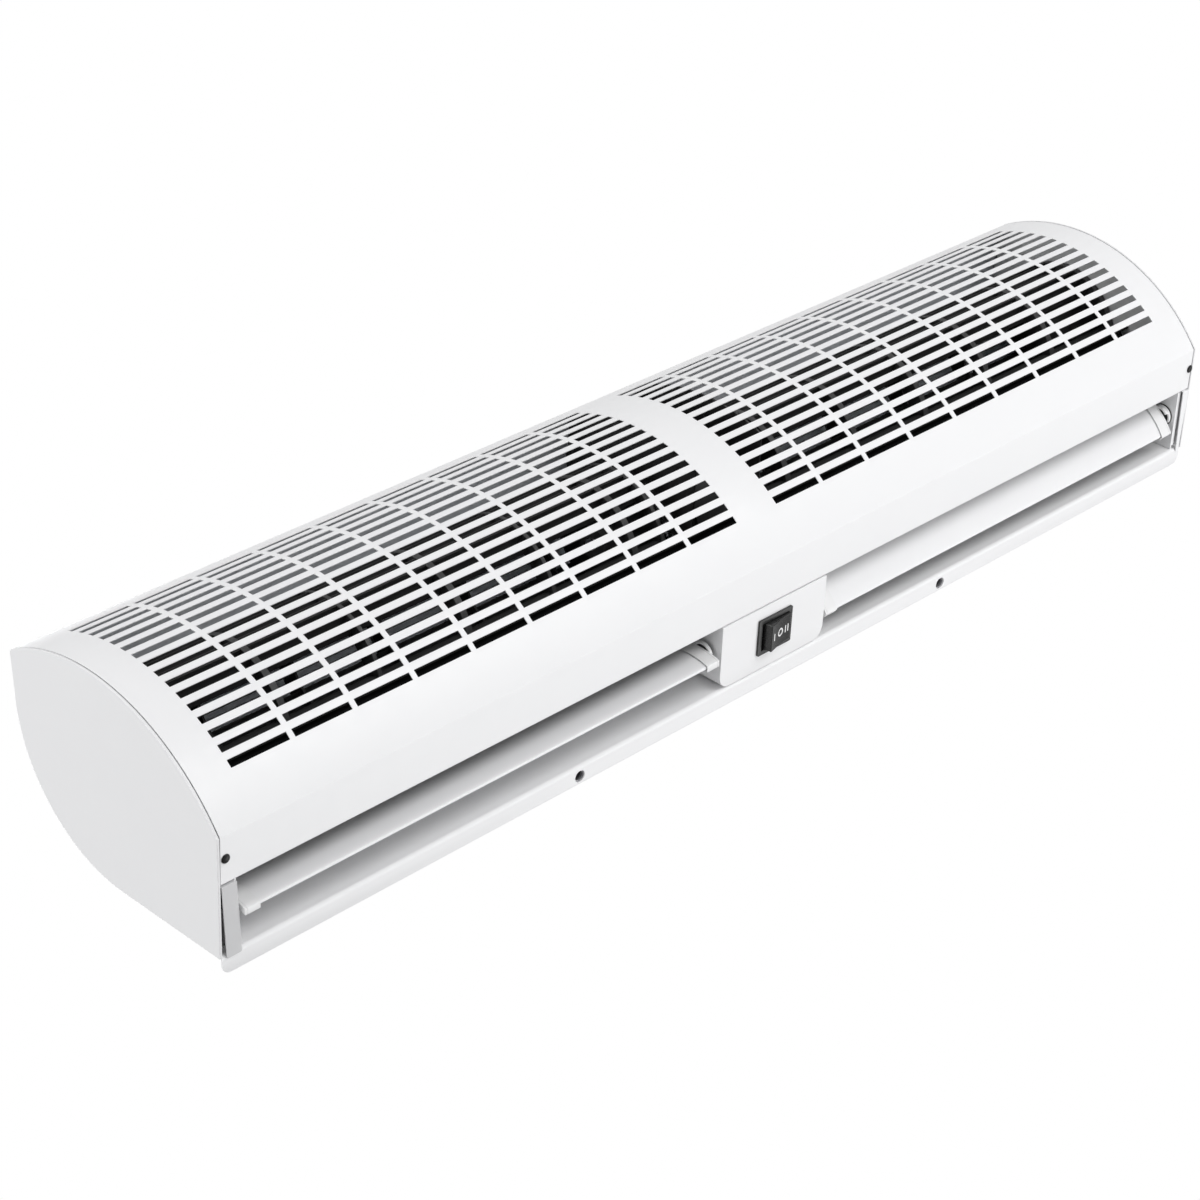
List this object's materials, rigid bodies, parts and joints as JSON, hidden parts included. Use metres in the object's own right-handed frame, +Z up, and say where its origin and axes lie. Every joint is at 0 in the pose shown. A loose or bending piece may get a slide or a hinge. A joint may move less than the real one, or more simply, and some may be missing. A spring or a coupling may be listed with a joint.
{
  "type": "air curtain",
  "caption": "Wall-mounted cross-flow air curtain with a curved slotted intake, two tilting outlet louvers, a rocker switch and a hook-on wall plate.",
  "frame": {"origin": "middle of the line of wall screws, on the wall's surface", "axes": "+X along the length, to the right for someone facing the unit; +Y into the wall; +Z up. The air leaves downwards."},
  "size_m": [0.9, 0.1465, 0.185],
  "materials": {
    "white_paint": "smooth semi-gloss powder coat",
    "galvanised": "zinc-coated sheet",
    "dark_paint": "satin black",
    "black_aluminium": "black coated thin sheet",
    "bright_steel": "turned",
    "dark_steel": "black oxide",
    "bearing_bronze": "sintered or rolled",
    "black_rubber": "matt",
    "white_plastic": "moulded",
    "cream_plastic": "moulded",
    "black_plastic": "moulded satin"
  },
  "bodies": {
    "housing": {"front_cover": "white_paint", "rear_casing": "white_paint", "end_cap_left": "white_paint", "end_cap_right": "white_paint", "end_bracket_left": "white_paint", "end_bracket_right": "white_paint", "side_frame_left": "white_paint", "side_frame_right": "white_paint", "outlet_tongue": "dark_paint", "hanger_rail": "galvanised", "wall_plate": "galvanised", "motor_plate_left": "dark_paint", "motor_plate_right": "dark_paint", "motor_body": "dark_paint", "motor_rubbers": "black_rubber", "motor_clamps": "bright_steel", "clamp_screws": "dark_steel", "bearing_bushes": "bearing_bronze", "bearing_rubbers": "black_rubber", "louver_pivots": "black_plastic", "switch_housing": "white_paint", "switch_body": "black_plastic", "switch_terminals": "bearing_bronze", "service_tray": "galvanised", "capacitor": "white_plastic", "terminal_block": "cream_plastic", "cable_grommet": "black_rubber", "cover_screws": "dark_steel"},
    "rotor": {"rotor_shaft": "bright_steel", "impeller_left": "black_aluminium", "impeller_right": "black_aluminium", "end_shafts": "bright_steel"},
    "left_louver": {"louver_left": "white_paint", "louver_left_clips": "white_plastic"},
    "right_louver": {"louver_right": "white_paint", "louver_right_clips": "white_plastic"},
    "rocker": {"rocker": "black_plastic"}
  },
  "joints": [
    {"name": "rotor_spin", "type": "hinge", "parent": "housing", "child": "rotor", "pos_m": [0, -0.076, 0.066], "axis": [1, 0, 0], "continuous": true},
    {"name": "left_louver_tilt", "type": "hinge", "parent": "housing", "child": "left_louver", "pos_m": [-0.2427, -0.03808, -0.03], "axis": [1, 0, 0], "range_deg": [-17, 53]},
    {"name": "right_louver_tilt", "type": "hinge", "parent": "housing", "child": "right_louver", "pos_m": [0.2437, -0.03808, -0.03], "axis": [1, 0, 0], "range_deg": [-58, 12]},
    {"name": "rocker_tilt", "type": "hinge", "parent": "housing", "child": "rocker", "pos_m": [0.0005, -0.03848, -0.039], "axis": [0, 1, 0], "range_deg": [0, 20]}
  ]
}
